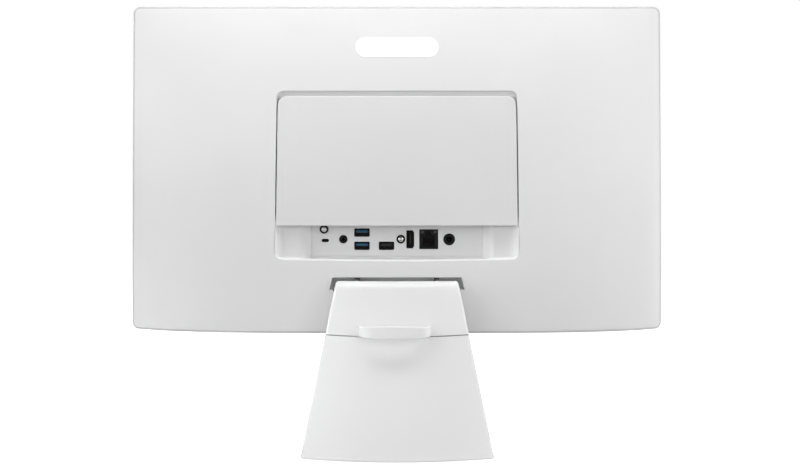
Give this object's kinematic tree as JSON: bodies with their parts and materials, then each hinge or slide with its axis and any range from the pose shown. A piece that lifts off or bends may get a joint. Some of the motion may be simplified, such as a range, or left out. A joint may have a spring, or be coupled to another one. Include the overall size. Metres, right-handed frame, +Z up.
{
  "type": "all in one pc",
  "caption": "Slim desktop display with the computer built in: bulged rear shell, service cover and port bay, on a tilting neck stand with a flat foot and a cable loop.",
  "frame": {"origin": "centre of the footprint at table level", "axes": "+Z up, +X along the display's width, +Y out of the rear, so the screen faces -Y"},
  "size_m": [0.509, 0.2051, 0.4145],
  "materials": {
    "shell_white": "fine-textured white moulding",
    "stand_white": "fine-textured white moulding",
    "cover_white": "fine-textured white moulding",
    "badge_white": "smooth white gloss",
    "bezel_white": "satin white moulding",
    "screen_black": "anti-glare dark screen",
    "black_plastic": "black moulded plastic",
    "blue_plastic": "blue connector insulator",
    "dark_plastic": "dark connector insulator",
    "amber_lens": "clear amber lens",
    "port_steel": "plated connector shell",
    "steel": "zinc-plated sheet steel",
    "screw_steel": "nickel-plated screw",
    "black_steel": "black powder coat",
    "white_steel": "white powder coat",
    "aluminium": "bare aluminium",
    "copper": "copper",
    "circuit_board": "green solder mask",
    "rubber": "non-slip rubber",
    "brass": "plain brass"
  },
  "bodies": {
    "stand": {"stand_base": "stand_white", "foot_weight_plate": "black_steel", "rubber_feet": "rubber", "base_screws": "screw_steel", "neck_spine": "steel", "neck_front_cover": "stand_white", "arm_rear_cover": "stand_white", "hinge_knuckle": "steel", "knuckle_screws": "screw_steel", "cable_holder": "stand_white"},
    "display": {"rear_shell": "shell_white", "rear_cover_panel": "cover_white", "port_panel": "shell_white", "rear_badge": "badge_white", "front_bezel": "bezel_white", "lcd_glass": "screen_black", "lcd_module": "steel", "chassis_frame": "steel", "hinge_bracket_left": "white_steel", "hinge_bracket_right": "white_steel", "bracket_screws": "screw_steel", "hinge_pin": "steel", "hinge_nuts": "steel", "friction_washers": "steel", "mainboard": "circuit_board", "board_standoffs": "brass", "processor": "aluminium", "cpu_cold_plate": "copper", "heat_pipe": "copper", "cooling_fins": "aluminium", "fan_housing": "black_plastic", "memory_modules": "circuit_board", "solid_state_drive": "circuit_board", "wireless_card": "circuit_board", "wireless_antennas": "brass", "coin_cell": "steel", "hard_drive": "aluminium", "drive_bracket": "steel", "speaker_left": "black_plastic", "speaker_right": "black_plastic", "webcam_module": "black_plastic", "webcam_window": "screen_black", "power_switch_board": "circuit_board", "display_cable": "black_plastic", "usb3_shells": "port_steel", "usb3_tongues": "blue_plastic", "usb2_shell": "port_steel", "usb2_tongue": "dark_plastic", "hdmi_port": "port_steel", "lan_port": "black_plastic", "lan_indicators": "amber_lens", "dc_jack": "black_plastic", "audio_jack": "black_plastic", "lock_slot_plate": "steel", "io_screws": "screw_steel", "shell_screws": "screw_steel"},
    "fan": {"fan_impeller": "black_plastic"},
    "power_button": {"power_button": "bezel_white"}
  },
  "joints": [
    {"name": "display_tilt", "type": "hinge", "parent": "stand", "child": "display", "pos_m": [0, 0.054, 0.1453], "axis": [-1, 0, 0], "range_deg": [-5, 20]},
    {"name": "fan_spin", "type": "hinge", "parent": "display", "child": "fan", "pos_m": [0.067, 0.0189, 0.278], "axis": [0, 1, 0], "continuous": true},
    {"name": "power_button_press", "type": "slide", "parent": "display", "child": "power_button", "axis": [0, 0, 1], "range_m": [0, 0.001], "stiffness_N_per_m": 400}
  ]
}
